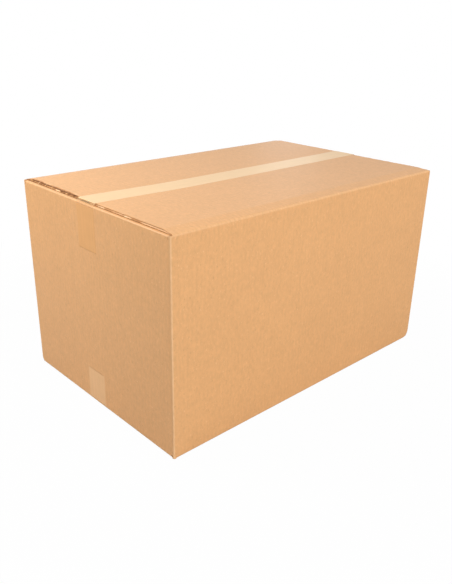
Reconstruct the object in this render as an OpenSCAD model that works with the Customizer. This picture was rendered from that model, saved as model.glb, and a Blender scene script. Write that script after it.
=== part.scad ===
// Closed shipping carton: one slotted sheet of corrugated board, folded into a box,
// glued at one corner and sealed with a strip of packing tape along the top and the bottom seam.
// X runs along the taped seams, Y across them, Z up. The origin is the middle of the underside.
// Lengths are in millimetres.

/* [Carton] */
// Outside length, along the taped seams
carton_l = 620; // [420:10:900]
// Outside width, across the seams
carton_w = 400; // [240:10:600]
// Height over the board, from the flat of the bottom flaps to the flat of the top flaps
carton_h = 355; // [200:5:600]

/* [Corrugated board] */
// Thickness of the board, with both liners
board_t = 4; // [3:0.5:7]
// Thickness of each flat liner
liner_t = 0.5; // [0.3:0.1:0.8]
// Thickness of the wavy medium between the liners
medium_t = 0.4; // [0.2:0.1:0.6]
// Length of one wave of the medium
flute_pitch = 7.8; // [6:0.2:10]

/* [Folds and slots] */
// Radius on the inside of each scored fold
crease_r = 0.5; // [0.3:0.1:1.5]
// Distance from a corner's fold to the nearer end of the long flap beside it
flap_end_gap = 0.2; // [0.2:0.2:4]
// Distance from a corner's fold to the side of the short flap beside it
flap_side_gap = 1; // [0.2:0.2:4]
// Height of a corner post's cut top below the outer corner of the long fold
slot_drop = 2.5; // [1.5:0.5:4]
// Air between the short flaps and the long flaps that lie over them
lap_gap = 0.3; // [0.3:0.1:2]
// Height that the long flaps climb from their folds to lie over the short flaps
flap_rise = 2.5; // [1:0.5:2.5]
// Slope of that climb, in degrees
climb_angle = 8; // [6:1:12]
// Radius of the bend in which the climb ends
climb_r = 40; // [10:5:60]
// Gap between the free edges of the two long flaps
seam_gap = 1; // [0.4:0.2:4]
// Distance that the two long flaps have slid past each other along the seam
seam_slip = 3.6; // [0:0.2:4]
// Length of flute that stays crushed shut beside a fold
crush_l = 3; // [1:0.5:8]
// Greatest depth of the tear under the top liner at the worn end of the rear top flap
tear_depth = 4; // [1:0.5:8]
// Length of one ragged step along that tear
tear_step = 3; // [2:0.5:8]

/* [Glued corner] */
// Width of the glue tab inside the rear right corner
tab_w = 35; // [20:1:60]
// Height lost at each end of the tab to its sloping cut
tab_slope = 12; // [4:1:30]
// Distance from the raw edge of the rear panel to the face of the right end
joint_setback = 3; // [1:0.5:4]
// Depth of the squeezed glue beside the raw edge
glue_t = 0.4; // [0.2:0.1:0.8]

/* [Packing tape] */
// Width of the tape
tape_w = 48; // [36:1:75]
// Thickness of the tape's film
film_t = 0.05; // [0.03:0.01:0.1]
// Thickness of the adhesive that holds the film off the board
adhesive_t = 0.03; // [0.02:0.01:0.05]
// Length of each tail of the top tape, down from the top of the board
top_tail = 78; // [30:1:90]
// Length of each tail of the bottom tape, up from the bottom of the board
bottom_tail = 65; // [30:1:90]
// Distance of the bottom tape off the middle of its seam
bottom_tape_shift = 6; // [-10:1:10]
// Width of one tooth of the zigzag cut at the end of a tail
tooth_w = 3; // [2:0.5:6]
// Depth of that zigzag cut
tooth_d = 1.2; // [0.4:0.2:2]

/* [Hidden] */
$fn = 48;

kraft = [0.80, 0.61, 0.40];
film = [0.88, 0.76, 0.58];

// Outside radius of a fold
fold_r = board_t + crease_r;
// The film and the adhesive under the bottom flaps hold the board off the floor
floor_gap = film_t + adhesive_t;
board_low = floor_gap;
board_high = floor_gap + carton_h;
board_mid = (board_low + board_high) / 2;
// Height of the outer corner of the long folds, which the flat of the long flaps rises above
fold_high = board_high - flap_rise;
// Drop of the short flaps below the long flaps that cover them
short_drop = board_t + lap_gap;
// Depth of the slots below the start of the short flaps' folds
slot_overrun = 1;
// Height at which the plain panels end, at the bottom of the slots
panel_high = board_high - short_drop - fold_r - slot_overrun;
panel_low = 2 * board_mid - panel_high;
// Height of the cut tops of the corner posts, which stand between the slots
post_high = fold_high - slot_drop;
post_low = 2 * board_mid - post_high;

// All flaps are cut to the same depth, at which the long ones meet over the middle
flap_depth = (carton_w - seam_gap) / 2;
// Distances from an end panel's face to the two ends of a long flap that has slid along the seam
near_cut = fold_r + flap_end_gap;
far_cut = near_cut + seam_slip;
long_flap_l = carton_l - near_cut - far_cut;
side_cut = fold_r + flap_side_gap;
short_flap_l = carton_w - 2 * side_cut;

// Where the climb of a long flap ends and its flat begins, in from the long panel's face
climb_end = fold_r + flap_rise / tan(climb_angle) + (climb_r - fold_r) * tan(climb_angle / 2);

// Half the clear height between the liners, and half the rise of the medium in it
flute_half = board_t / 2 - liner_t;
wave_rise = flute_half - medium_t / 2;
// Steps in which one wave of the medium is drawn
wave_steps = 12;
// A cut runs this far past the surface that it opens
past = 1;
// The climb starts and ends this far inside the arcs that it leads to, so that it crosses them
sunk = 0.01;

// Height of the medium's middle line at distance u from a cut edge, with a crest at distance crest
function medium_z(u, crest) = wave_rise * cos(360 * (u - crest) / flute_pitch);

// Outline of the space between the medium and one liner, from the cut edge to where the two meet.
// side is 1 for the space under the outer liner and -1 for the one over the inner liner.
function flute_space(meet, crest, side) =
    let (steps = ceil(wave_steps * meet / flute_pitch))
    concat(
        [[-past, side * flute_half], [meet, side * flute_half]],
        [for (i = [steps - 1:-1:0])
            let (u = meet * i / steps)
            [u, medium_z(u, crest) + side * medium_t / 2]],
        [[-past, medium_z(0, crest) + side * medium_t / 2]]
    );

// Both spaces of the flute that a slot has cut open, in the plane across the flutes
module open_flute(crest) {
    trough = crest > flute_pitch / 2 ? crest - flute_pitch / 2 : crest + flute_pitch / 2;
    polygon(flute_space(crest, crest, 1));
    polygon(flute_space(trough, crest, -1));
}

// Quarter of a ring: the section of a fold, outside radius up and to the left
module fold_section() {
    intersection() {
        difference() {
            circle(r = fold_r);
            circle(r = crease_r);
        }
        translate([-fold_r, 0]) square(fold_r);
    }
}

// The sections below are drawn with x in from the panel's outer face and y up from the flat of the
// flap's outer face. skin is the thickness left off the upper side.

// Section of a short flap. Its root reaches down into the panel, as a long flap's does.
module short_section(skin) {
    root = slot_overrun + past;
    translate([0, -fold_r - root]) square([board_t, root]);
    translate([fold_r, -fold_r]) fold_section();
    translate([fold_r, -board_t]) square([flap_depth - fold_r, board_t - skin]);
}

// Everything under the outer face of a long flap: round its fold, up the climb, round the bend, flat
module under_long_flap(skin) {
    square_to_climb = [-sin(climb_angle), cos(climb_angle)];
    hinge = [fold_r, -flap_rise - fold_r];
    brow = [climb_end, -climb_r];
    bend_l = climb_r * sin(climb_angle);
    translate(hinge) circle(r = fold_r - skin);
    polygon([
        hinge, hinge + (fold_r - skin - sunk) * square_to_climb,
        brow + (climb_r - skin - sunk) * square_to_climb, [climb_end, hinge.y]
    ]);
    intersection() {
        translate(brow) circle(r = climb_r - skin, $fn = 360);
        translate([climb_end - 2 * bend_l, hinge.y]) square([2 * bend_l, -hinge.y]);
    }
    translate([climb_end, hinge.y]) square([flap_depth - climb_end, -hinge.y - skin]);
}

// Section of a long flap. Its underside is flat, so the board is crushed thin where it climbs.
module long_section(skin) {
    root_low = panel_high - board_high - past;
    difference() {
        intersection() {
            under_long_flap(skin);
            translate([0, -flap_rise - fold_r]) square([flap_depth, flap_rise + fold_r]);
        }
        translate([board_t, root_low]) square([flap_depth, -board_t - root_low]);
    }
    translate([0, root_low]) square([board_t, -flap_rise - fold_r - root_low]);
}

// Flap with open flutes along its two slot edges. The hinge runs along X, the flap lies towards +Y,
// its outer face is at z = 0 and its panel's outer face at y = 0. crests places the wave at each end.
// The first child is the flap's section and the second is the same under the upper liner.
module flap(hinge_l, crests) {
    difference() {
        translate([-hinge_l / 2, 0, 0]) rotate([90, 0, 90]) linear_extrude(hinge_l) children(0);
        for (i = [0, 1]) mirror([i, 0, 0]) intersection() {
            translate([-hinge_l / 2, flap_depth + past, -board_t / 2]) rotate([90, 0, 0])
                linear_extrude(flap_depth + past - fold_r - crush_l) open_flute(crests[i]);
            translate([-hinge_l / 2 - past, 0, 0]) rotate([90, 0, 90])
                linear_extrude(flute_pitch + past) children(1);
        }
    }
}

module long_flap() {
    flap(long_flap_l, [flute_pitch * 0.42, flute_pitch * 0.8]) {
        long_section(0);
        long_section(liner_t);
    }
}

// narrowing is what the side towards -X gives up, behind the glued corner
module short_flap(narrowing) {
    translate([narrowing / 2, 0, 0])
        flap(short_flap_l - narrowing, [flute_pitch * 0.3, flute_pitch * 0.6]) {
            short_section(0);
            short_section(liner_t);
        }
}

// The four flaps that close the top, short ones under, long ones over, and the posts at the corners
module top_closure() {
    for (side = [0, 1]) rotate(180 * side)
        translate([-seam_slip / 2, -carton_w / 2, board_high]) long_flap();
    translate([-carton_l / 2, 0, board_high - short_drop]) rotate(-90) short_flap(0);
    translate([carton_l / 2, 0, board_high - short_drop]) rotate(90) mirror([1, 0, 0])
        short_flap(board_t);
    translate([0, 0, panel_high - past]) linear_extrude(post_high - panel_high + past)
        corner_folds();
}

// Ragged depth of the tear at each of its steps
function tear_at(step) = tear_depth * (0.6 + 0.25 * sin(step * 95) + 0.15 * sin(step * 250));

// Tear under the top liner at the left end of the rear top flap: the medium and the lower liner are
// gone, from the seam to the foot of the climb
module tear() {
    run = flap_depth - climb_end;
    steps = ceil(run / tear_step);
    translate([-carton_l / 2 + far_cut, seam_gap / 2, board_high - board_t - past])
        linear_extrude(board_t - liner_t + past)
            polygon(concat(
                [[-past, run], [-past, 0]],
                [for (i = [0:steps]) [tear_at(i), run * i / steps]]
            ));
}

// Plan of the four panels and their corner folds. The rear right corner is the glued one: the right
// end's fold runs in behind the rear panel, whose raw edge shows.
module panels_plan() {
    half_l = carton_l / 2;
    half_w = carton_w / 2;
    straight_l = carton_l - 2 * fold_r;
    rear_l = carton_l - fold_r - joint_setback;
    translate([-half_l + fold_r, -half_w]) square([straight_l, board_t]);
    translate([-half_l + fold_r, half_w - board_t]) square([rear_l, board_t]);
    translate([-half_l, -half_w + fold_r]) square([board_t, carton_w - 2 * fold_r]);
    translate([half_l - board_t, -half_w + fold_r])
        square([board_t, carton_w - 2 * fold_r - board_t]);
    corner_folds();
    translate([half_l - fold_r, half_w - board_t - glue_t])
        square([fold_r - joint_setback, board_t + glue_t]);
}

module corner_folds() {
    inset_l = carton_l / 2 - fold_r;
    inset_w = carton_w / 2 - fold_r;
    translate([-inset_l, inset_w]) fold_section();
    translate([-inset_l, -inset_w]) rotate(90) fold_section();
    translate([inset_l, -inset_w]) rotate(180) fold_section();
    translate([inset_l, inset_w - board_t]) rotate(-90) fold_section();
}

// The tab that carries the glue, flat against the inside of the rear panel
module glue_tab() {
    tab_h = panel_high - panel_low;
    translate([carton_l / 2 - fold_r, carton_w / 2 - board_t, board_mid]) rotate([90, 0, 0])
        linear_extrude(board_t)
            polygon([
                [0, -tab_h / 2], [0, tab_h / 2],
                [-tab_w, tab_h / 2 - tab_slope], [-tab_w, -tab_h / 2 + tab_slope]
            ]);
}

module carton() color(kraft) {
    difference() {
        union() {
            translate([0, 0, panel_low]) linear_extrude(panel_high - panel_low) panels_plan();
            glue_tab();
            top_closure();
            translate([0, 0, 2 * board_mid]) mirror([0, 0, 1]) top_closure();
        }
        // Flute laid open down the raw edge of the rear panel
        translate([carton_l / 2 - joint_setback, carton_w / 2 - board_t / 2, panel_low - past])
            mirror([1, 0, 0]) linear_extrude(panel_high - panel_low + 2 * past)
                open_flute(flute_pitch * 0.35);
        tear();
    }
}

// Half of the tape's course over the top, in the plane along the seam, offset from the board:
// along the flap, round its end, across to the end panel's fold, round that and down to the tail's end
function tape_course(offset, tail) =
    let (
        edge = [carton_l / 2 - near_cut, 0],
        fold = [carton_l / 2 - fold_r, -short_drop - fold_r],
        reach = fold_r,
        gap = fold - edge,
        lean = atan2(gap.y, gap.x) + acos(-reach / norm(gap)),
        bend = [for (i = [0:3]) 90 + (lean - 90) * i / 3],
        wrap = [for (i = [0:4]) lean * (1 - i / 4)]
    )
    concat(
        [for (a = bend) edge + offset * [cos(a), sin(a)]],
        [for (a = wrap) fold + (reach + offset) * [cos(a), sin(a)]],
        [[carton_l / 2 + offset, -tail]]
    );

function backwards(points) = [for (i = [len(points) - 1:-1:0]) points[i]];
function other_end(points) = [for (p = points) [-p.x, p.y]];

// Zigzag outline of the tape seen from the end of the carton
function tape_outline(tail) =
    let (teeth = round(tape_w / tooth_w), step = tape_w / teeth)
    concat(
        [[-tape_w / 2, past], [-tape_w / 2, -tail]],
        [for (i = [0:teeth - 1], half = [0.5, 1])
            [-tape_w / 2 + step * (i + half), -tail + (half < 1 ? tooth_d : 0)]],
        [[tape_w / 2, past]]
    );

// Strip of tape laid over a seam, with the board's face at z = 0 and the tails hanging below it
module tape(tail) {
    inner = tape_course(adhesive_t, tail + past);
    outer = tape_course(adhesive_t + film_t, tail + past);
    intersection() {
        translate([0, tape_w / 2 + past, 0]) rotate([90, 0, 0])
            linear_extrude(tape_w + 2 * past)
                polygon(concat(outer, backwards(inner), other_end(inner), backwards(other_end(outer))));
        translate([-carton_l, 0, 0]) rotate([90, 0, 90])
            linear_extrude(2 * carton_l) polygon(tape_outline(tail));
    }
}

module top_tape() color(film) translate([0, 0, board_high]) tape(top_tail);

module bottom_tape() color(film)
    translate([0, bottom_tape_shift, board_low]) mirror([0, 0, 1]) tape(bottom_tail);

carton();
top_tape();
bottom_tape();
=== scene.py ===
"""Closed shipping carton of corrugated kraft board, with clear packing tape along its top and bottom seams.

Lengths are in metres, X along the taped seams, Y across them, Z up. The frame gives the boxes of the three
CAD nodes, and the sizes below give what their boxes don't.
"""

import math

import bmesh
import bpy
import numpy as np
from bpy.props import FloatProperty, FloatVectorProperty, PointerProperty
from mathutils import Matrix, Vector


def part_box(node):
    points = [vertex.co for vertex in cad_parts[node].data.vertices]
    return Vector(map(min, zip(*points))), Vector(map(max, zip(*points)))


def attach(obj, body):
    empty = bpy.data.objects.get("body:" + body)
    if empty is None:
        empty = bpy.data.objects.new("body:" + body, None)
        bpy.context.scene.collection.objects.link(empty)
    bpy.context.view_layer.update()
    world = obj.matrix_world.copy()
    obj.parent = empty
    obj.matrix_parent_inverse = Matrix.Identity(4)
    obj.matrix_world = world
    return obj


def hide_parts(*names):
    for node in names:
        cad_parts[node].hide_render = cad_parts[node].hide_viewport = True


bl_info = {
    "name": "Shipping carton",
    "version": (1, 0, 0),
    "blender": (4, 5, 0),
    "location": "View3D > Sidebar > Carton",
    "description": "Makes a closed corrugated carton, its packing tape and a plain studio",
    "category": "Add Mesh",
}

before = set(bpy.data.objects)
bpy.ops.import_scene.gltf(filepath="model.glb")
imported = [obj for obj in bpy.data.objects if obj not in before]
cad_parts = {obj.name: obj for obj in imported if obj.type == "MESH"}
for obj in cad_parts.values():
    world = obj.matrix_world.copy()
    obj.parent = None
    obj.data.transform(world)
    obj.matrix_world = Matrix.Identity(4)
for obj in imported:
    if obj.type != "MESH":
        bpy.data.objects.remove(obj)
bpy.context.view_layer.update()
BOARD_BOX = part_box("carton")
TOP_TAPE_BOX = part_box("top_tape")
BOTTOM_TAPE_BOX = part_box("bottom_tape")

MM = 0.001
TINY = 1e-7  # points closer than this become one
DRAWS = 4096
SMOOTH_ANGLE = math.radians(30)

# Places across a cut face, from the outer liner's face at 0 to the inner one's at 1, and where the outer
# liner ends there.
ACROSS = np.array([0, 0.125, 0.14, 0.2, 0.3, 0.4, 0.5, 0.6, 0.7, 0.8, 0.86, 0.875, 1.0])
LINER_END = 0.13
FIRST_ROW = 0.05 * MM  # from the bottom of the slots to a flap's first row
# A recess's colour is painted darker with its depth, as shade, and is darkest at this depth.
PAINTED_SHADE_DEPTH = 2 * MM  # of a recess in a cut face, where its colour is darkest

# Steps of a graded line: the fine one at its ends, the coarse one, and the reach from the one to the other.
PANEL_ROWS = (2 * MM, 14 * MM, 60 * MM)
SHORT_FLAP_ROWS = (3 * MM, 20 * MM, 40 * MM)
LONG_PANEL_COLUMNS = (0.003, 0.03, 0.12)
END_PANEL_COLUMNS = (0.005, 0.03, 0.12)
TAPE_ROWS = (2 * MM, 12 * MM, 60 * MM)
TAIL_ROWS = (0.4 * MM, 5 * MM, 20 * MM)
LONG_FLAP_STEP = 2.6 * MM
FOLD_POINTS = 9


def linear(red, green, blue):
    """The linear colour of a colour that is written as the 0 to 255 levels of a screen."""
    levels = [c / 255 for c in (red, green, blue)]
    return tuple(c / 12.92 if c < 0.04045 else ((c + 0.055) / 1.055) ** 2.4 for c in levels)


def smooth(low, high, value):
    """Runs from 0 at low to 1 at high, level at both ends."""
    t = np.clip((value - low) / (high - low), 0, 1)
    return t * t * (3 - 2 * t)


def mixed(first, second, share):
    """first where share is 0, second where it is 1."""
    return first + (second - first) * share


def wander(along, step, seed):
    """Smooth random values between -1 and 1 along a line: one draw for every step, and smooth from each
    to the next. Each use has a seed of its own, so that no two run alike."""
    draws = np.random.default_rng(seed).uniform(-1, 1, DRAWS)
    place = np.asarray(along) / step + DRAWS // 2
    cell = np.floor(place).astype(int)
    share = smooth(0, 1, place - cell)
    return mixed(draws[cell % DRAWS], draws[(cell + 1) % DRAWS], share)


def graded(low, high, fine, coarse, reach):
    """Places from low to high that lie fine apart at both ends and coarse apart past reach from them. The
    steps grow smoothly, and are scaled so that both halves meet in the middle."""
    half = (high - low) / 2
    steps, at = [0.0], 0.0
    while at < half:
        at += mixed(fine, coarse, float(smooth(0, reach, at)))
        steps.append(at)
    near = np.array(steps) * half / steps[-1]
    return np.concatenate([low + near, (high - near)[::-1][1:]])


def arc(centre, radius, start, end, count):
    """Points on a circle from one angle to another, in degrees."""
    angle = np.radians(np.linspace(start, end, count))
    return np.stack([centre[0] + radius * np.cos(angle), centre[1] + radius * np.sin(angle)], 1)


def between(first, last, count):
    """count points evenly spread between two points, without those two."""
    return first + (last - first) * np.linspace(0, 1, count + 2)[1:-1, None]


def fold_outline(reach, radius):
    """Outside of a square fold seen from its hinge: straight up at reach to the left, a quarter round of
    the radius, then straight to the right."""
    ends = np.array([[-reach, 0], [0, reach]])
    bend = arc((radius - reach, reach - radius), radius, 180, 90, FOLD_POINTS - 2)
    return np.concatenate([ends[:1], bend, ends[1:]])


def grid_quads(rows, columns):
    """Corners of the quads between the points of a grid, as [rows - 1, columns - 1, 4]."""
    index = np.arange(rows * columns).reshape(rows, columns)
    return np.stack([index[:-1, :-1], index[1:, :-1], index[1:, 1:], index[:-1, 1:]], -1)


def length_property(name, description, millimetres):
    """Property for a length, with its default in millimetres."""
    return FloatProperty(name=name, description=description, default=millimetres * MM, unit="LENGTH")


def colour_property(name, description, *levels):
    """Property for a colour, with its default in the 0 to 255 levels of a screen."""
    return FloatVectorProperty(name=name, description=description, default=linear(*levels), subtype="COLOR",
                               min=0, max=1)


class CartonSizes(bpy.types.PropertyGroup):
    """Sizes of the board that the frame's box doesn't give."""

    board: length_property("Board", "Thickness of the board", 4)
    liner: length_property("Liner", "Thickness of each flat liner", 0.5)
    flute: length_property("Flute", "Length of one wave of the medium", 7.8)
    fold: length_property("Fold", "Outside radius of a fold", 4.5)
    lip: length_property("Lip", "Radius of the outer liner on the short flaps' folds", 2.3)
    brow: length_property("Brow", "Radius of the outer liner on the long flaps' folds", 4.2)
    corner: length_property("Corner", "Radius of the outer liner on the upright folds", 2.4)
    rise: length_property("Rise", "Height that the long flaps climb over their folds", 2.5)
    slope: FloatProperty(name="Slope", description="Slope of that climb", default=math.radians(8),
                         subtype="ANGLE")
    bend: length_property("Bend", "Radius of the bend that ends the climb", 40)
    lap: length_property("Lap", "Drop of the short flaps under the long ones", 4.3)
    near_cut: length_property("Near end", "From an end panel to the nearer long flap", 4.7)
    far_cut: length_property("Far end", "From an end panel to the farther long flap", 8.3)
    side_cut: length_property("Side", "From a long panel to the side of a short flap", 5.5)
    slot: length_property("Slot", "Drop of a corner post's top below the long fold", 1.5)
    overrun: length_property("Overrun", "Depth of the slots below the short flaps' folds", 1)
    seam: length_property("Seam", "Gap between the long flaps", 1)
    setback: length_property("Setback", "From the rear panel's raw edge to the right end", 3)
    tab: length_property("Tab", "Width of the glue tab", 35)
    tab_slope: length_property("Tab slope", "Height that the tab loses at each end", 12)
    tear: length_property("Tear", "Depth of the tear under the rear flap's liner", 4)


class TapeSizes(bpy.types.PropertyGroup):
    """Sizes of the packing tape that the frame's boxes don't give."""

    film: length_property("Film", "Thickness of the film", 0.05)
    glue: length_property("Adhesive", "Thickness of the adhesive", 0.03)
    tooth: length_property("Tooth", "Width of a tooth of the cut end", 3)
    tooth_depth: length_property("Tooth depth", "Depth of the zigzag cut", 1.2)


class CartonColours(bpy.types.PropertyGroup):
    """Colours of the carton, its tape and the studio."""

    kraft: colour_property("Kraft", "Face of the liner", 228, 172, 115)
    # Also the painted highlight along the folds.
    pale_fibre_and_highlight: colour_property("Pale fibre", "Light fibres and worn folds", 251, 203, 151)
    dark_fibre: colour_property("Dark fibre", "Dark fibres", 190, 136, 84)
    # The two edge colours are the board's raw and torn edges, and also painted shade in recesses, grooves and
    # the gap beside the long flaps.
    raw_edge_and_shade: colour_property("Raw edge", "Cut edges and the inside of the flutes", 188, 133, 80)
    deep_edge_and_shade: colour_property("Deep edge", "Deep parts of a torn edge", 104, 62, 30)
    # The film's pale colour over the flaps is partly a painted sheen.
    film: colour_property("Film", "Packing tape over the flaps", 255, 213, 155)
    stuck_film: colour_property("Stuck film", "Top tape, well stuck to the end panels", 240, 182, 122)
    loose_film: colour_property("Loose film", "Bottom tape, hazy on the end panels", 250, 201, 149)
    floor: colour_property("Floor", "Studio floor, as other light sees it", 190, 190, 190)


class Studio(bpy.types.PropertyGroup):
    """The camera, which stands where the photograph was taken from."""

    azimuth: FloatProperty(name="Azimuth", description="Turn of the camera round the carton",
                           default=math.radians(-43.114), subtype="ANGLE")
    elevation: FloatProperty(name="Elevation", description="Height of the camera above the horizon",
                             default=math.radians(23.054), subtype="ANGLE")
    roll: FloatProperty(name="Roll", description="Roll of the camera", default=math.radians(1.055),
                        subtype="ANGLE")
    distance: FloatProperty(name="Distance", description="From the camera to the origin's plane",
                            default=1.2858, unit="LENGTH")
    aside: FloatProperty(name="Aside", description="Shift of the camera to its right", default=-0.0152,
                         unit="LENGTH")
    up: FloatProperty(name="Up", description="Shift of the camera upwards", default=0.1140, unit="LENGTH")
    lens: FloatProperty(name="Lens", description="Focal length in millimetres", default=39.665)


class Node:
    """An output of a shader node, which the signs of arithmetic turn into Math nodes."""

    def __init__(self, finish, socket):
        self.finish = finish
        self.socket = socket

    def math(self, operation, *values):
        """Math node on the values, whatever node it is called on."""
        return self.finish.add("ShaderNodeMath", {"operation": operation}, list(values))

    def __add__(self, other):
        return self.math("ADD", self, other)

    def __sub__(self, other):
        return self.math("SUBTRACT", self, other)

    def __rsub__(self, other):
        return self.math("SUBTRACT", other, self)

    def __mul__(self, other):
        return self.math("MULTIPLY", self, other)

    __radd__ = __add__
    __rmul__ = __mul__


class Finish:
    """A material under construction."""

    def __init__(self, name):
        self.material = bpy.data.materials.new(name)
        self.material.use_nodes = True
        self.tree = self.material.node_tree
        self.tree.nodes.clear()

    def add(self, kind, settings=None, inputs=(), output=0):
        """Adds a node: its settings first, then the values or links of its sockets."""
        node = self.tree.nodes.new(kind)
        for name, value in (settings or {}).items():
            setattr(node, name, value)
        pairs = inputs.items() if isinstance(inputs, dict) else enumerate(inputs)
        for name, value in pairs:
            socket = node.inputs[name]
            if isinstance(value, Node):
                self.tree.links.new(value.socket, socket)
            else:
                socket.default_value = value
        return Node(self, node.outputs[output]) if node.outputs else None

    def attribute(self, name):
        """A value that the mesh keeps on its points."""
        return self.add("ShaderNodeAttribute", {"attribute_name": name}, output="Fac")

    def place(self):
        """The point on the object."""
        return self.add("ShaderNodeTexCoord", output="Object")

    def join(self, *parts):
        """The vector of three parts."""
        return self.add("ShaderNodeCombineXYZ", inputs=list(parts))

    def noise(self, vector, scale, detail=2.0, roughness=0.5):
        """Noise about one half, with scale lumps to a metre."""
        return self.add("ShaderNodeTexNoise", {"noise_dimensions": "3D"},
                        {"Vector": vector, "Scale": scale, "Detail": detail, "Roughness": roughness})

    def ramp(self, value, low, high, start=0.0, end=1.0):
        """Runs from start at low to end at high, and stays inside them."""
        return self.add("ShaderNodeMapRange", {"interpolation_type": "SMOOTHSTEP"},
                        [value, low, high, start, end])

    def blend(self, share, first, second):
        """Colour that goes from first to second with share. A colour is linear or a node."""
        first, second = [c if isinstance(c, Node) else (*c, 1) for c in (first, second)]
        return self.add("ShaderNodeMix", {"data_type": "RGBA"}, {0: share, 6: first, 7: second}, output=2)

    def tint(self, colour, level):
        """Colour times a level."""
        vector = colour if isinstance(colour, Node) else tuple(colour)
        return self.add("ShaderNodeVectorMath", {"operation": "SCALE"}, {"Vector": vector, "Scale": level})

    def bump(self, height, distance, strength=1.0, normal=None):
        """Normal of a surface that stands out by height times distance, on top of another normal."""
        inputs = {"Height": height, "Distance": distance, "Strength": strength}
        if normal is not None:
            inputs["Normal"] = normal
        return self.add("ShaderNodeBump", inputs=inputs)

    def surface(self, **values):
        """Ends the material with one Principled shader."""
        names = {key.replace("_", " "): value for key, value in values.items()}
        shader = self.add("ShaderNodeBsdfPrincipled", inputs=names)
        self.add("ShaderNodeOutputMaterial", inputs=[shader])
        return self.material


class Board:
    """Sizes that follow from the carton's box and its sizes, and the shapes of its sections."""

    def __init__(self):
        sizes = bpy.context.scene.carton_sizes
        self.sizes = sizes
        low, high = BOARD_BOX
        self.length = high.x - low.x
        self.width = high.y - low.y
        self.low, self.high = low.z, high.z
        self.middle = (low.z + high.z) / 2
        self.long_start = self.high - sizes.rise - sizes.fold
        self.short_start = self.high - sizes.lap - sizes.fold
        self.slot_bottom = self.short_start - sizes.overrun
        self.post = self.high - sizes.rise - sizes.slot
        self.depth = (self.width - sizes.seam) / 2
        self.rows = graded(self.mirrored(self.slot_bottom), self.slot_bottom, *PANEL_ROWS)

    def mirrored(self, z):
        """The height that lies as far on the other side of the board's middle."""
        return 2 * self.middle - z

    def circuit(self):
        """Where the right end, front, left end and rear panels start along the unrolled sheet, which is
        folded clockwise seen from above, and the length of a corner's fold."""
        turn = math.pi / 2 * self.sizes.fold
        end, side = self.width - 2 * self.sizes.fold, self.length - 2 * self.sizes.fold
        return np.cumsum([turn, end - self.sizes.board + turn, side + turn, end + turn]), turn

    def long_section(self):
        """Outer and inner face of a long flap from the bottom of the slots to its free edge, as in and
        up: round the fold, up the climb, round the bend and flat. The underside is flat all the way."""
        s = self.sizes
        slope = math.degrees(s.slope)
        foot = s.fold + s.rise / math.tan(s.slope) + (s.bend - s.fold) * math.tan(s.slope / 2)
        brow = arc((foot, self.high - s.bend), s.bend, 90 + slope, 90, 6)
        peak = brow[0, 1] - (brow[0, 0] - s.brow) * math.tan(s.slope)
        fold = arc((s.brow, peak - s.brow / math.cos(s.slope)), s.brow, 180, 90 + slope, 7)
        fold = np.concatenate([[[0, self.long_start]], fold])
        climb = between(fold[-1], brow[0], 6)
        count = int((self.depth - foot) / LONG_FLAP_STEP)
        flat = np.stack([np.linspace(foot, self.depth, count + 1)[1:], np.full(count, self.high)], 1)
        outer = np.concatenate([fold, climb, brow, flat])
        turn = np.linspace(0, 1, len(fold))
        under_fold = np.stack([
            mixed(s.board, s.fold, smooth(0.5, 1, turn)),
            mixed(self.long_start, self.high - s.board, np.clip(2 * turn, 0, 1)),
        ], 1)
        rest = outer[len(fold):].copy()
        rest[:, 1] = self.high - s.board
        return outer, np.concatenate([under_fold, rest])

    def short_section(self):
        """Outer and inner face of a short flap from the bottom of the slots to its free edge: a fold,
        then flat."""
        s = self.sizes
        start = np.array([s.fold, self.short_start])
        near = np.linspace(s.fold, 10 * MM, 10)
        reach = np.concatenate([near, graded(near[-1], self.depth, *SHORT_FLAP_ROWS)[1:]])[1:]
        inside = s.fold - s.board
        sides = []
        for radius, fold in ((s.fold, fold_outline(s.fold, s.lip)),
                             (inside, arc((0, 0), inside, 180, 90, FOLD_POINTS))):
            flat = np.stack([reach, np.full(len(reach), start[1] + radius)], 1)
            sides.append(np.concatenate([start + fold, flat]))
        return sides

    def folded(self, section):
        """A panel's rows between its bottom and its top flap. section is the top flap's outer and inner
        face, as in and up. Returns both whole faces, how far each row is along the sheet, and which
        rows are flap."""
        faces = []
        for top, depth in zip(section, (0, self.sizes.board)):
            top = np.concatenate([[[depth, self.slot_bottom + FIRST_ROW]], top])
            bottom = top[::-1].copy()
            bottom[:, 1] = self.mirrored(bottom[:, 1])
            panel = np.stack([np.full(len(self.rows), depth), self.rows], 1)
            faces.append(np.concatenate([bottom, panel, top]))
        steps = np.linalg.norm(np.diff(faces[0], axis=0), axis=1)
        along = np.concatenate([[0], np.cumsum(steps)])
        flap = np.ones(len(along), bool)
        flap[len(section[0]) + 1:-len(section[0]) - 1] = False
        return faces, along - along.mean(), flap


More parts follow.
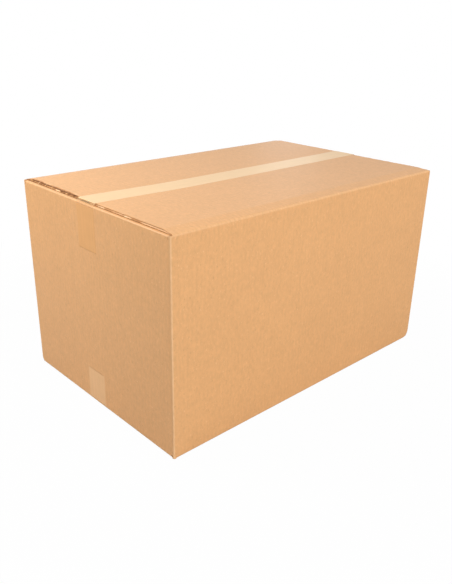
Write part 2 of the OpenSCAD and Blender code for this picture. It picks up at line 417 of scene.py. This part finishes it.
class Sheets:
    """Collects sheets that have a thickness, as grids of points that share their edges. u and v are a
    point's place on the flat sheet, across the flutes and along them."""

    def __init__(self, steps=ACROSS):
        self.steps = steps
        self.points, self.quads = [], []
        self.marks = {"u": [], "v": [], "cut": [], "torn": [], "pale": []}
        self.total = 0

    def face(self, grid, turned, u, v, cells=None, cut=0.0, torn=0.0, pale=0.0):
        """Adds one grid of points, its quads turned over where turned is true and left out where cells
        is false, with its marks."""
        rows, columns = grid.shape[:2]
        quad = grid_quads(rows, columns) + self.total
        if cells is not None:
            quad = quad[cells]
        quad = quad.reshape(-1, 4)
        self.points.append(grid.reshape(-1, 3))
        self.quads.append(quad[:, ::-1] if turned else quad)
        for name, value in (("u", u), ("v", v), ("cut", cut), ("torn", torn), ("pale", pale)):
            self.marks[name].append(np.broadcast_to(value, (rows, columns)).ravel())
        self.total += rows * columns

    def sheet(self, outer, inner, u, v, ends=(None, None), recesses=(None, None), looks=(None, None),
              painted_face_shade=0.0):
        """Sheet between outer and inner, which are grids [along u, along v, 3]. Its cut faces run from
        one to the other in the given steps. ends says which cells of the two end faces are made, and
        None leaves an end open, for another sheet to close. A recess [along v, steps] sets an end face
        back into the sheet, save at its two corners, and the inner face's end row goes with it; the deeper
        the recess, the darker its face is painted, as shade. looks gives an end face's own marks, cut, torn
        and pale, in place of those that follow from its recess. The last argument paints shade on the outer
        face."""
        normal = np.cross(outer[1, 0] - outer[0, 0], outer[0, 1] - outer[0, 0])
        turned = bool(normal @ (outer[0, 0] - inner[0, 0]) < 0)
        share = self.steps[None, :, None]
        # The outer face's cut mark is painted shade, given by the caller.
        self.face(outer, turned, u[:, None], v[None], cut=painted_face_shade)
        whole, inner = inner, inner.copy()
        raw = 0.5 * np.clip(np.minimum(self.steps, 1 - self.steps) / LINER_END, 0, 1)[None, :]
        for row, inwards, cells, recess, look in zip((0, -1), (1, -2), ends, recesses, looks):
            if cells is None:
                continue
            edge = mixed(outer[row][:, None], whole[row][:, None], share)
            marks = (raw, 0.0, 0.0)
            if recess is not None:
                recess = recess * (np.arange(len(v)) % (len(v) - 1) > 0)[:, None]
                way = whole[inwards] - whole[row]
                way /= np.linalg.norm(way, axis=1)[:, None]
                edge = edge + way[:, None] * recess[:, :, None]
                inner[row] = edge[:, -1]
                # Painted shade: the deeper the recess, the darker its colour.
                marks = (np.maximum(raw, np.clip(recess / PAINTED_SHADE_DEPTH, 0, 1)), 0.0, 0.0)
            self.face(edge, turned ^ (row != 0), u[row], v[:, None], cells, *(look or marks))
        for column in (0, -1):
            edge = mixed(outer[:, column][:, None], inner[:, column][:, None], share)
            self.face(edge, turned ^ (column == 0), u[:, None], v[column], None, raw)
        self.face(inner, not turned, u[:, None], v[None])


def flute_recess(sizes, crest):
    """Depth of the open flute at a slot edge, at each step of ACROSS. The medium meets the edge between
    the liners, at the cosine of its place on the wave, which crest gives as a share of one wave. The
    spaces over and under it run back as square roots to where it touches the liners."""
    half_paper = 0.2 * MM
    half = sizes.board / 2 - sizes.liner
    height = sizes.board * (0.5 - ACROSS)
    medium = (half - half_paper) * math.cos(2 * math.pi * crest)
    trough = (crest + 0.5) % 1
    over = np.clip((height - medium - half_paper) / (half - medium), 0, 1) * (height < half)
    under = np.clip((medium - half_paper - height) / (half + medium), 0, 1) * (height > -half)
    return sizes.flute * (crest * np.sqrt(over) + trough * np.sqrt(under))


# How pale the medium is along the two slot edges that are not open, by the millimetres from the fold.
PRESSED = np.array([(0, 0.3), (10, 0.7), (20, 1), (30, 0.9), (40, 0.7), (49, 1), (60, 0.9), (68, 0.5),
                    (74, 0), (90, 0), (96, 1), (106, 1), (112, 0.3), (120, 0.5), (137, 0.5), (143, 0.1),
                    (158, 0.1), (163, 0.8), (175, 0.7), (180, 0)])
TORN = np.array([(0, 0), (58, 0.1), (74, 0.4), (90, 0.4), (94, 0.2), (99, 1), (109, 1), (114, 0),
                 (127, 0), (131, 0.5), (135, 0)])


def pressed_end(inset):
    """Left slot edge of the front flap, which is pressed together: a thin groove under the upper liner
    and one at the lower liner, both painted dark as shade, and between them the medium as a pale ridge
    where it stands free, brown where it doesn't. Gives the recess and the marks, each [inset, ACROSS]."""
    groove_depth = 0.8 * MM
    under_liner = ACROSS > LINER_END
    pale = np.interp(inset / MM, *PRESSED.T) * (1 + 0.15 * wander(inset, 6 * MM, 68))
    ridge = np.interp(ACROSS, [0.33, 0.45, 0.86, 0.95], [0, 1, 1, 0]) * pale[:, None]
    groove = np.interp(ACROSS, [LINER_END, 0.2, 0.3, 0.45, 0.86, 1], [0.2, 1, 1, 0, 0, 1])
    depth = groove_depth * groove * under_liner
    # The grooves are painted dark as shade; the brown between them is the raw edge's own colour, and the
    # ridge is pale medium.
    cut = np.where(under_liner, (0.36 + 0.4 * groove) * (1 - ridge), 0.4 * ACROSS / LINER_END)
    return depth * (1 + 0.3 * wander(inset, 5 * MM, 62))[:, None], (cut, 0.0, ridge)


def torn_end(inset):
    """Left slot edge of the rear flap, whose upper liner is torn back: the medium and the lower liner
    stand out from under it, brown and uneven, with pockets and a few pale scraps. They stand out less
    over a stretch near the fold and not at all under the tape. The brown is partly the torn board's own
    colour and partly painted shade: darker in the pockets and towards the upper liner, lighter towards
    the lower one. Gives the recess and the marks, each [inset, ACROSS]."""
    pocket_depth = 2 * MM
    under_liner = ACROSS > LINER_END
    pale = np.interp(inset / MM, *TORN.T)
    ragged = 0.85 + 0.2 * wander(inset, 8 * MM, 21) + 0.15 * wander(inset, 3.4 * MM, 22)
    ledge = np.interp(ACROSS, [LINER_END, 0.14, 0.3, 0.5, 1.0], [0, 0.1, -0.5, -0.9, -1.0])
    scraps = wander(inset[:, None] * 7 + ACROSS[None] * 0.02, 12 * MM, 31) * under_liner
    pocket = smooth(0.0, 0.7, scraps) * (1 - pale)[:, None]
    low_stretch = (smooth(4 * MM, 8 * MM, inset) * (1 - smooth(17 * MM, 22 * MM, inset)))[:, None]
    taped = smooth(158 * MM, 172 * MM, inset)[:, None]
    tear = bpy.context.scene.carton_sizes.tear
    stand = tear * 0.8 * ragged[:, None] * ledge * (1 - 0.3 * low_stretch)
    depth = (stand + pocket_depth * pocket * (1 - low_stretch)) * (1 - taped)
    ridge = pale[:, None] * np.interp(ACROSS, [0.4, 0.5, 0.8, 0.88], [0, 1, 1, 0])
    under_tape = np.interp(ACROSS, [LINER_END, 0.3, 0.4, 0.5], [1, 1, 1, 0])
    ridge = np.maximum(ridge, 0.45 * taped * under_tape)
    # The torn board's own brown, with painted shade: darker in the pockets and towards the upper liner,
    # lighter towards the lower one.
    brown = 0.9 + 0.15 * scraps + 0.15 * pocket - 0.4 * taped - 0.35 * low_stretch
    brown = brown * np.interp(ACROSS, [0.14, 0.6, 1], [1.15, 1, 0.5])
    cut = np.where(under_liner, brown * (1 - ridge), 4 * ACROSS)
    return depth, (cut, 1.0 * under_liner[None], ridge)


def slot_edge(sizes, inset, flap, front, left):
    """Cut edge at the left or right end of a long panel's rows: its recess, its own marks or None, and
    how far the outer liner is frayed back. The front flap is pressed at the left, and its liner frays
    more away from the fold. The rear one is torn there, with its liner further back. Both have open
    flutes at the right, where the rear panel's raw edge is open too."""
    away = smooth(sizes.fold, sizes.fold + 30 * MM, inset) * flap
    fray = 0.35 * MM * (1 + wander(inset, 4 * MM, 41 + (not left) + 2 * front)) * away
    if left and front:
        recess, look = pressed_end(inset)
        fray = fray * (1 + 2 * smooth(50 * MM, 130 * MM, inset))
        return recess * (smooth(2 * MM, sizes.fold + 6 * MM, inset) * flap)[:, None], look, fray
    if left:
        recess, look = torn_end(inset)
        fray = fray + (0.5 + 1.1 * (1 + wander(inset, 9 * MM, 51))) * MM * away
        return recess * (smooth(3 * MM, 7 * MM, inset) * flap)[:, None], look, fray
    ragged = 1 + 0.25 * wander(inset, 7 * MM, 12 + 2 * front)
    recess = flute_recess(sizes, 0.8 if front else 0.42)[None] * ragged[:, None] * away[:, None]
    if not front:
        recess = np.where(flap[:, None], recess, flute_recess(sizes, 0.35)[None])
    return recess, None, fray


def end_cells(flap):
    """Cells of an end face that touch a flap's row, and so are cut rather than folded."""
    free = flap[1:] | flap[:-1]
    return np.repeat(free[:, None], len(ACROSS) - 1, 1)


def long_panel(board, sheets, front):
    """Front or rear panel with its two long flaps. The front flaps end nearer to the left end panel and
    the rear ones nearer to the right one, but beside the fold both of a flap's ends are as near."""
    s = board.sizes
    faces, along, flap = board.folded(board.long_section())
    starts, _ = board.circuit()
    half = board.length / 2
    inset = np.minimum(np.abs(faces[0][:, 0]), board.depth)
    near = np.full(len(flap), s.near_cut)
    far = mixed(s.near_cut, s.far_cut, smooth(5 * MM, 12 * MM, inset))
    left_cut, right_cut = (near, far) if front else (far, near)
    right_edge = s.fold if front else s.setback
    low = np.where(flap, left_cut, s.fold) - half
    high = half - np.where(flap, right_cut, right_edge)
    share = graded(0, 1, *LONG_PANEL_COLUMNS)
    x = low[None] + (high - low)[None] * share[:, None]
    grids = []
    for face in faces:
        y = (face[:, 0] - board.width / 2) * (1 if front else -1)
        grids.append(np.stack([x, np.broadcast_to(y, x.shape), np.broadcast_to(face[:, 1], x.shape)], -1))
    recesses, looks = [], []
    for row, way in ((0, 1), (-1, -1)):
        recess, look, fray = slot_edge(s, inset, flap, front, row == 0)
        grids[0][row, :, 0] += way * fray
        grids[0][row, :, 2] -= np.sign(along) * 0.5 * fray
        recesses.append(recess)
        looks.append(look)
    cells = end_cells(flap)
    ends = (cells, cells if front else cells | True)
    reach = board.length - s.fold - right_edge
    u = starts[1] + (1 - share) * reach if front else starts[3] + share * reach
    sheets.sheet(*grids, u, along, ends, recesses, looks)


def end_panel(board, sheets, left):
    """Left or right end panel with its two short flaps, which are painted with shade where the long flaps
    cover them and in a thin strip beside their ends.
    """
    s = board.sizes
    faces, along, flap = board.folded(board.short_section())
    starts, _ = board.circuit()
    half = board.width / 2
    hidden = 0 if left else s.board
    low = np.where(flap, s.side_cut, s.fold) - half
    high = half - hidden - np.where(flap, s.side_cut, s.fold)
    share = graded(0, 1, *END_PANEL_COLUMNS)
    y = low[None] + (high - low)[None] * share[:, None]
    grids = []
    for face in faces:
        x = (face[:, 0] - board.length / 2) * (1 if left else -1)
        grids.append(np.stack([np.broadcast_to(x, y.shape), y, np.broadcast_to(face[:, 1], y.shape)], -1))
    cells = end_cells(flap)
    reach = board.width - hidden - 2 * s.fold
    u = starts[2] + (1 - share) * reach if left else starts[0] + share * reach
    recesses = [flute_recess(s, crest)[None] * (0.9 * flap)[:, None] for crest in (0.3, 0.6)]
    # Painted shade on the short flaps' tops, from just outside the long flaps' ends inwards.
    painted_gap_shade = smooth(s.near_cut - 0.3 * MM, s.near_cut + 0.6 * MM, faces[0][:, 0]) * flap
    sheets.sheet(*grids, u, along, (cells, cells), recesses, painted_face_shade=painted_gap_shade[None])


def corner_folds(board, sheets):
    """The four folds between the panels, each with the posts that stand between the slots. The rear
    right one leads to the glue tab, which loses height to its sloping ends."""
    s = board.sizes
    half_l, half_w = board.length / 2 - s.fold, board.width / 2 - s.fold
    starts, turn = board.circuit()
    heights = np.concatenate([[board.mirrored(board.post)], board.rows, [board.post]])
    free = np.zeros(len(heights), bool)
    free[[0, -1]] = True
    cells = end_cells(free)
    along = heights - board.middle
    folds = (((half_l, -half_w), 360, starts[1] - turn), ((-half_l, -half_w), 270, starts[2] - turn),
             ((-half_l, half_w), 180, starts[3] - turn), ((half_l, half_w - s.board), 90, 0.0))
    for centre, angle, start in folds:
        grids = []
        tilt = math.radians(angle - 180)
        turned = np.array([[math.cos(tilt), math.sin(tilt)], [-math.sin(tilt), math.cos(tilt)]])
        for ring in (fold_outline(s.fold, s.corner), arc((0, 0), s.fold - s.board, 180, 90, FOLD_POINTS)):
            grid = np.zeros((len(ring), len(heights), 3))
            grid[:, :, :2] = (centre + ring @ turned)[:, None]
            grid[:, :, 2] = heights
            grids.append(grid)
        sheets.sheet(*grids, start + turn * np.linspace(0, 1, FOLD_POINTS), along, (cells, cells))
    share = np.linspace(0, 1, 6)
    up = (board.rows - board.middle) / (board.slot_bottom - board.middle)
    reach = board.slot_bottom - board.middle - s.tab_slope * share
    grids = []
    for y in (board.width / 2 - s.board, board.width / 2 - 2 * s.board):
        grid = np.zeros((len(share), len(up), 3))
        grid[:, :, 0] = (half_l - s.tab * share)[:, None]
        grid[:, :, 1] = y
        grid[:, :, 2] = board.middle + reach[:, None] * up[None]
        grids.append(grid)
    whole = np.ones((len(up) - 1, len(ACROSS) - 1), bool)
    sheets.sheet(*grids, -s.tab * share, board.rows - board.middle, (None, whole))


# Corners that are pushed in, as the signs of X, Y and Z, and how far, in millimetres.
CORNERS = (((1, -1, 1), 2), ((1, -1, -1), 5), ((-1, 1, -1), 4), ((1, 1, 1), 3), ((1, 1, -1), 4),
           ((-1, -1, -1), 1.5), ((-1, 1, 1), 1.5))


def settled(points, board):
    """The box as it has been handled. With q running from -1 to 1 over it, each upright face is drawn in
    by the hollow times 1 - q squared in both of the face's directions, and the top too. Each corner in
    CORNERS is pushed in along its diagonal by its depth, and by less behind the tip, down to nothing."""
    half = np.array([board.length / 2, board.width / 2, (board.high - board.low) / 2])
    centre = np.array([0, 0, board.middle])
    p = points - centre
    q = np.clip(p / half, -1, 1)
    bow = 1 - q * q
    hollow = 0.6 * MM
    moved = p.copy()
    moved[:, 0] -= hollow * q[:, 0] * bow[:, 1] * bow[:, 2]
    moved[:, 1] -= hollow * q[:, 1] * bow[:, 0] * bow[:, 2]
    moved[:, 2] -= hollow * np.clip(q[:, 2], 0, 1) ** 8 * bow[:, 0] * bow[:, 1]
    for corner, depth in CORNERS:
        tip = np.array(corner) * half
        way = np.array(corner) / math.sqrt(3)
        behind = (tip - moved) @ way
        reach = 2.2 * depth * MM
        pushed = depth * MM * np.clip(1 - behind / reach, 0, 1) ** 1.5
        moved -= pushed[:, None] * way
    return moved + centre


def mesh_object(name, points, quads, attributes):
    """Mesh of points and quads with float values on the points. Points in one place become one, with the
    highest of their values. Edges flatter than SMOOTH_ANGLE are smooth."""
    key = np.round(points / TINY).astype(np.int64)
    _, first, where = np.unique(key, axis=0, return_index=True, return_inverse=True)
    where = where.ravel()
    quads = where[quads]
    mesh = bpy.data.meshes.new(name)
    mesh.from_pydata(points[first].tolist(), [], quads.tolist())
    mesh.validate()
    for label, values in attributes.items():
        layer = mesh.attributes.new(label, "FLOAT", "POINT")
        highest = np.full(len(first), -1e9)
        np.maximum.at(highest, where, values)
        layer.data.foreach_set("value", highest.astype(np.float32))
    work = bmesh.new()
    work.from_mesh(mesh)
    bmesh.ops.recalc_face_normals(work, faces=work.faces)
    for face in work.faces:
        face.smooth = True
    for edge in work.edges:
        edge.smooth = len(edge.link_faces) == 2 and edge.calc_face_angle(0) < SMOOTH_ANGLE
    work.to_mesh(mesh)
    work.free()
    piece = bpy.data.objects.new(name, mesh)
    bpy.context.scene.collection.objects.link(piece)
    return piece


def fold_wear_and_highlight(points, board):
    """How pale a fold is at a point, partly as wear and partly as a painted highlight: twice the product of
    its two shares of the fold's radius, which is highest in the middle of a quarter round and 0 where it
    starts and ends, times a weight for each kind of fold."""
    s = board.sizes
    beside_l = np.abs(points[:, 0]) - board.length / 2
    beside_w = np.abs(points[:, 1]) - board.width / 2
    up = np.abs(points[:, 2] - board.middle) + board.middle
    over_long, over_short = up - board.high + s.rise, up - board.high + s.lap
    folds = ((beside_l, beside_w, s.corner, 0.8), (beside_w, over_long, s.brow, 0.3),
             (beside_l, over_short, s.lip, 0.18))
    marks = [2 * wear_and_highlight * np.clip(a / radius + 1, 0, 1) * np.clip(b / radius + 1, 0, 1)
             for a, b, radius, wear_and_highlight in folds]
    return np.max(marks, axis=0)


def build_board():
    """The folded sheet: two long panels, two end panels and the folds between them."""
    board = Board()
    sheets = Sheets()
    for front in (True, False):
        long_panel(board, sheets, front)
    for left in (True, False):
        end_panel(board, sheets, left)
    corner_folds(board, sheets)
    points = np.concatenate(sheets.points)
    marks = {name: np.concatenate(values) for name, values in sheets.marks.items()}
    # Folds are painted pale, partly as wear and partly as a painted highlight.
    marks["pale"] = np.maximum(marks["pale"], fold_wear_and_highlight(points, board))
    return mesh_object("carton_board", settled(points, board), np.concatenate(sheets.quads), marks)


def kraft_finish(colours, sizes):
    """Kraft liner: cloudy fibre, sparse light and dark fibres, the flutes faint behind it, folds pale with
    wear and a painted highlight, cut edges darker, with a torn one brown and blotched, and painted shade
    in recesses, grooves and the gap beside the long flaps."""
    finish = Finish("kraft_board")
    u, v = finish.attribute("u"), finish.attribute("v")
    cut, torn, pale = [finish.attribute(name) for name in ("cut", "torn", "pale")]
    sheet = finish.join(u, v, 0.0)
    broad = finish.noise(sheet, 7.0, 2.0)
    clouds = finish.noise(finish.join(u, v * 0.6, 1.0), 60.0, 3.0, 0.6)
    mottle = finish.noise(finish.join(u, v * 0.5, 2.0), 230.0, 2.0, 0.6)
    grain = finish.noise(finish.join(u, v * 0.4, 3.0), 900.0, 2.0, 0.6)
    wave = u.math("SINE", u * (2 * math.pi / sizes.flute))
    level = 1 + (broad - 0.5) * 0.08 + (clouds - 0.5) * 0.14 + (mottle - 0.5) * 0.26 + (grain - 0.5) * 0.12
    level = level + wave * (0.004 + broad * 0.006)
    colour = finish.tint(colours.kraft, level)
    flecks = finish.noise(finish.join(u, v * 0.5, 4.0), 420.0, 1.0)
    colour = finish.blend(finish.ramp(flecks, 0.66, 0.74) * 0.45, colour, colours.pale_fibre_and_highlight)
    colour = finish.blend(finish.ramp(flecks, 0.33, 0.25) * 0.45, colour, colours.dark_fibre)
    # Pale: worn folds with a painted highlight on them, the pale medium and pale scraps.
    pale_and_highlit = finish.ramp(pale, 0.0, 0.8) * (0.8 + (mottle - 0.5) * 1.2)
    colour = finish.blend(pale_and_highlit, colour, colours.pale_fibre_and_highlight)
    # The cut mark darkens towards the edge colours: raw and torn edges, and painted shade in recesses,
    # grooves and the gap beside the long flaps.
    colour = finish.blend(finish.ramp(cut, 0.0, 0.5), colour, colours.raw_edge_and_shade)
    colour = finish.blend(finish.ramp(cut, 0.5, 1.0) * 0.8, colour, colours.deep_edge_and_shade)
    scraps = finish.noise(finish.join(u, v, 5.0), 170.0, 2.0)
    colour = finish.blend(torn * finish.ramp(scraps, 0.6, 0.7) * 0.8, colour, colours.pale_fibre_and_highlight)
    normal = finish.bump(wave, 0.04 * MM)
    normal = finish.bump(grain, 0.12 * MM, 0.6, normal)
    roughness = finish.ramp(cut, 0.2, 0.6, 0.47, 0.95)
    return finish.surface(Base_Color=colour, Roughness=roughness, Normal=normal)


def tape_course(board, tail, lift):
    """Half of the tape's course in the plane along the seam, lift over the board, as in from the end
    panel and up from the flaps: along the flap, round its end, straight across to the fold of the end
    panel at the angle that touches it, round that and down to the tail's end."""
    s = board.sizes
    edge = np.array([s.near_cut, 0.0])
    centre = np.array([s.lip, -s.lap - s.lip])
    gap = centre - edge
    lean = math.degrees(math.atan2(gap[1], -gap[0]) + math.acos(-s.lip / np.hypot(*gap)))
    flat = board.length / 2 - graded(0, board.length / 2 - s.near_cut, *TAPE_ROWS)[:-1]
    over = np.stack([flat, np.full(len(flat), lift)], 1)
    over = over[over[:, 0] > s.near_cut + 1 * MM]
    bend = arc(edge * (-1, 1), lift, 90, lean, 4) * (-1, 1)
    wrap = arc(centre * (-1, 1), s.lip + lift, lean, 0, 6) * (-1, 1)
    span = between(bend[-1], wrap[0], 4)
    down = graded(-tail, wrap[-1][1], *TAIL_ROWS)[::-1][1:]
    hang = np.stack([np.full(len(down), -lift), down], 1)
    return np.concatenate([over, bend, span, wrap, hang])


def strayed(x):
    """How far to the rear of the seam's line the top tape lies along X: 6.5 mm at its left end, smoothly
    less over the next 185 mm, and -1.5 mm from there on."""
    return 8 * MM * (1 - smooth(-305 * MM, -120 * MM, x)) - 1.5 * MM


def build_tape(name, node_box, top):
    """Strip of tape as a sheet with a thickness, its ends cut to a zigzag. Marks say which part is tail,
    which part bridges the gap beside the flaps, and that the bottom one is hazy."""
    board = Board()
    tape = bpy.context.scene.tape_sizes
    low, high = node_box
    tail = (high.z - low.z) - tape.film - tape.glue
    width = high.y - low.y
    shift = (high.y + low.y) / 2
    teeth = round(width / tape.tooth)
    v = np.linspace(-width / 2, width / 2, 2 * teeth + 1)
    zigzag = np.where(np.arange(2 * teeth + 1) % 2 == 1, tape.tooth_depth, 0.0)
    grids = []
    for lift in (tape.glue + tape.film, tape.glue):
        half = tape_course(board, tail, lift)
        x = np.concatenate([half[::-1, 0] - board.length / 2, board.length / 2 - half[1:, 0]])
        z = np.concatenate([half[::-1, 1], half[1:, 1]])
        grid = np.zeros((len(x), len(v), 3))
        grid[:, :, 0] = x[:, None]
        aside = strayed(x) if top else np.zeros(len(x))
        grid[:, :, 1] = v[None] + shift + aside[:, None]
        grid[:, :, 2] = z[:, None]
        grid[[0, -1], :, 2] += zigzag[None]
        grid[:, :, 2] = board.high + grid[:, :, 2] if top else board.low - grid[:, :, 2]
        grids.append(grid)
    steps = np.hypot(np.diff(x), np.diff(z))
    u = np.concatenate([[0], np.cumsum(steps)])
    whole = np.ones((len(v) - 1, 1), bool)
    sheets = Sheets(np.array([0.0, 1.0]))
    sheets.sheet(*grids, u - u.mean(), v, (whole, whole))
    points = np.concatenate(sheets.points)
    marks = {name: np.concatenate(sheets.marks[name]) for name in ("u", "v")}
    drop = board.high - points[:, 2] if top else points[:, 2] - board.low
    marks["tail"] = smooth(7.5 * MM, 8 * MM, drop)
    marks["bridge"] = smooth(0.1 * MM, 0.8 * MM, drop) * (1 - marks["tail"])
    marks["haze"] = np.full(len(points), 0.0 if top else 1.0)
    return mesh_object(name, settled(points, board), np.concatenate(sheets.quads), marks)


def tape_finish(colours):
    """Clear film: pale and satin where it lies over the flaps, the pale colour there partly a painted
    sheen, close on the fibres and the tone of wet kraft on its tails, clearer where it spans the gap
    between them, with faint streaks along it."""
    finish = Finish("packing_tape")
    u, v = finish.attribute("u"), finish.attribute("v")
    tail, bridge, haze = [finish.attribute(name) for name in ("tail", "bridge", "haze")]
    streaks = finish.noise(finish.join(u * 5.0, v * 330.0, 0.0), 1.0, 2.0)
    clouds = finish.noise(finish.join(u, v, 0.0), 60.0, 2.0)
    level = 1 + (streaks - 0.5) * 0.16 + (clouds - 0.5) * 0.08
    stuck = finish.blend(haze, colours.stuck_film, colours.loose_film)
    # Off the tails the film takes its pale colour, which is partly a painted sheen.
    colour = finish.tint(finish.blend(tail, colours.film, stuck), level)
    clear = 0.88 - bridge * 0.72
    coat = 1.0 - tail * 0.95 - bridge * 0.95
    return finish.surface(Base_Color=colour, Roughness=0.5, Alpha=clear, Coat_Weight=coat, Coat_Roughness=0.4,
                          Specular_IOR_Level=0.1, Normal=finish.bump(streaks, 0.02 * MM))


def keep(piece, material, slot, *nodes):
    """Gives a finished piece its material and its body, and hides the CAD nodes that it stands for."""
    piece.data.materials.append(material)
    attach(piece, "root")
    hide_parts(*nodes)


class MakeBoard(bpy.types.Operator):
    """Makes the folded board of the carton"""

    bl_idname = "carton.make_board"
    bl_label = "Make board"

    def execute(self, context):
        finish = kraft_finish(context.scene.carton_colours, context.scene.carton_sizes)
        keep(build_board(), finish, "kraft_board", "carton")
        return {"FINISHED"}


class MakeTape(bpy.types.Operator):
    """Makes the two strips of packing tape"""

    bl_idname = "carton.make_tape"
    bl_label = "Make tape"

    def execute(self, context):
        finish = tape_finish(context.scene.carton_colours)
        keep(build_tape("top_tape_film", TOP_TAPE_BOX, True), finish, "packing_tape", "top_tape")
        keep(build_tape("bottom_tape_film", BOTTOM_TAPE_BOX, False), finish, "packing_tape", "bottom_tape")
        return {"FINISHED"}


FLOOR_RADIUS = 30
SKY_ON_MATTE = 0.35  # strength of the sky's light on matte surfaces


def make_floor(colours):
    """Round floor, plain and pale to the light. The camera and reflections see it white, with a faint
    shadow near the carton."""
    radius = np.concatenate([[1 * MM], np.geomspace(0.3, FLOOR_RADIUS, 24)])
    turn = np.linspace(0, 2 * math.pi, 65)
    ring = np.stack([np.outer(radius, np.cos(turn)), np.outer(radius, np.sin(turn)),
                     np.zeros((len(radius), len(turn)))], -1)
    quads = grid_quads(len(radius), len(turn)).reshape(-1, 4)
    floor = mesh_object("floor", ring.reshape(-1, 3), quads, {})
    finish = Finish("floor")
    path = finish.add("ShaderNodeLightPath").socket.node
    camera, glossy, through = [Node(finish, path.outputs["Is " + name + " Ray"])
                               for name in ("Camera", "Glossy", "Transmission")]
    away = finish.add("ShaderNodeVectorMath", {"operation": "LENGTH"}, [finish.place()], output=1)
    shade = 0.015
    white = camera * (1 - shade + finish.ramp(away, 0.5, 0.9) * shade)
    white = white.math("MAXIMUM", white, glossy).math("MAXIMUM", white, through)
    matte = finish.add("ShaderNodeBsdfDiffuse", inputs={"Color": (*colours.floor, 1)})
    glow = finish.add("ShaderNodeEmission", inputs={"Color": (1, 1, 1, 1), "Strength": 1.0})
    shader = finish.add("ShaderNodeMixShader", inputs=[white, matte, glow])
    finish.add("ShaderNodeOutputMaterial", inputs=[shader])
    floor.data.materials.append(finish.material)


def make_world():
    """Even white sky, dimmer on matte surfaces than to the camera and in reflections."""
    world = bpy.data.worlds.new("studio")
    bpy.context.scene.world = world
    world.use_nodes = True
    tree = world.node_tree
    tree.nodes.clear()
    path = tree.nodes.new("ShaderNodeLightPath")
    parts = [path.outputs[name] for name in ("Is Camera Ray", "Is Glossy Ray", "Is Transmission Ray")]
    total = parts[0]
    for part in parts[1:]:
        node = tree.nodes.new("ShaderNodeMath")
        node.operation = "MAXIMUM"
        tree.links.new(total, node.inputs[0])
        tree.links.new(part, node.inputs[1])
        total = node.outputs[0]
    strength = tree.nodes.new("ShaderNodeMapRange")
    strength.inputs["To Min"].default_value = SKY_ON_MATTE
    strength.inputs["To Max"].default_value = 1.0
    tree.links.new(total, strength.inputs["Value"])
    sky = tree.nodes.new("ShaderNodeBackground")
    sky.inputs["Color"].default_value = (1, 1, 1, 1)
    tree.links.new(strength.outputs["Result"], sky.inputs["Strength"])
    out = tree.nodes.new("ShaderNodeOutputWorld")
    tree.links.new(sky.outputs[0], out.inputs[0])


def make_lamp(name, place, target, size, power):
    """Square soft lamp that faces a point."""
    lamp = bpy.data.lights.new(name, "AREA")
    lamp.shape = "SQUARE"
    lamp.size = size
    lamp.energy = power
    holder = bpy.data.objects.new(name, lamp)
    holder.location = place
    holder.rotation_euler = (Vector(target) - Vector(place)).to_track_quat("-Z", "Y").to_euler()
    bpy.context.scene.collection.objects.link(holder)


def make_camera(studio):
    """Camera at the photograph's viewpoint: turned round the origin, then shifted in its own plane."""
    azimuth, elevation = studio.azimuth, studio.elevation
    back = Vector((math.sin(azimuth) * math.cos(elevation), -math.cos(azimuth) * math.cos(elevation),
                   math.sin(elevation)))
    level = Vector((0, 0, 1)).cross(back).normalized()
    upright = back.cross(level)
    right = level * math.cos(studio.roll) + upright * math.sin(studio.roll)
    up = upright * math.cos(studio.roll) - level * math.sin(studio.roll)
    camera = bpy.data.cameras.new("camera")
    camera.sensor_width = 36
    camera.lens = studio.lens
    holder = bpy.data.objects.new("camera", camera)
    turn = Matrix((right, up, back)).transposed().to_4x4()
    turn.translation = back * studio.distance + right * studio.aside + up * studio.up
    holder.matrix_world = turn
    bpy.context.scene.collection.objects.link(holder)
    bpy.context.scene.camera = holder


# Name, place, size and watts of each lamp. The last is a faint one, for a sheen on the far top corner.
LAMPS = (("front", (-0.2, -2.4, 1.2), 1.2, 33), ("front_right", (1.2, -2.2, 1.4), 1.2, 11),
         ("left", (-0.85, 0.2, 1.0), 0.6, 4.6), ("left_rear", (-1.0, 0.8, 1.0), 0.6, 7.3),
         ("right_rear", (0.8, 0.6, 0.5), 0.18, 0.12))
LAMP_TARGET = (0, 0, 0.2)


class MakeStudio(bpy.types.Operator):
    """Makes the floor, the light and the camera"""

    bl_idname = "carton.make_studio"
    bl_label = "Make studio"

    def execute(self, context):
        make_floor(context.scene.carton_colours)
        make_world()
        for name, place, size, power in LAMPS:
            make_lamp(name, place, LAMP_TARGET, size, power)
        make_camera(context.scene.studio)
        context.scene.view_settings.view_transform = "Standard"
        return {"FINISHED"}


class CartonPanel(bpy.types.Panel):
    """Lists the carton's steps"""

    bl_idname = "VIEW3D_PT_carton"
    bl_label = "Carton"
    bl_space_type = "VIEW_3D"
    bl_region_type = "UI"
    bl_category = "Carton"

    def draw(self, context):
        for operator in OPERATORS:
            self.layout.operator(operator.bl_idname)
        for name in GROUPS:
            box = self.layout.box()
            group = getattr(context.scene, name)
            for key in group.bl_rna.properties.keys():
                if key not in ("rna_type", "name"):
                    box.prop(group, key)


OPERATORS = (MakeBoard, MakeTape, MakeStudio)
GROUPS = {"carton_sizes": CartonSizes, "tape_sizes": TapeSizes, "carton_colours": CartonColours,
          "studio": Studio}


def register():
    """Registers the classes and gives the scene their properties."""
    for kind in (*GROUPS.values(), *OPERATORS, CartonPanel):
        bpy.utils.register_class(kind)
    for name, group in GROUPS.items():
        setattr(bpy.types.Scene, name, PointerProperty(type=group))


def unregister():
    """Takes back what register did."""
    for name in GROUPS:
        delattr(bpy.types.Scene, name)
    for kind in reversed((*GROUPS.values(), *OPERATORS, CartonPanel)):
        bpy.utils.unregister_class(kind)


def main():
    """Makes the carton in its studio."""
    register()
    bpy.ops.carton.make_board()
    bpy.ops.carton.make_tape()
    bpy.ops.carton.make_studio()


if __name__ == "__main__":
    main()
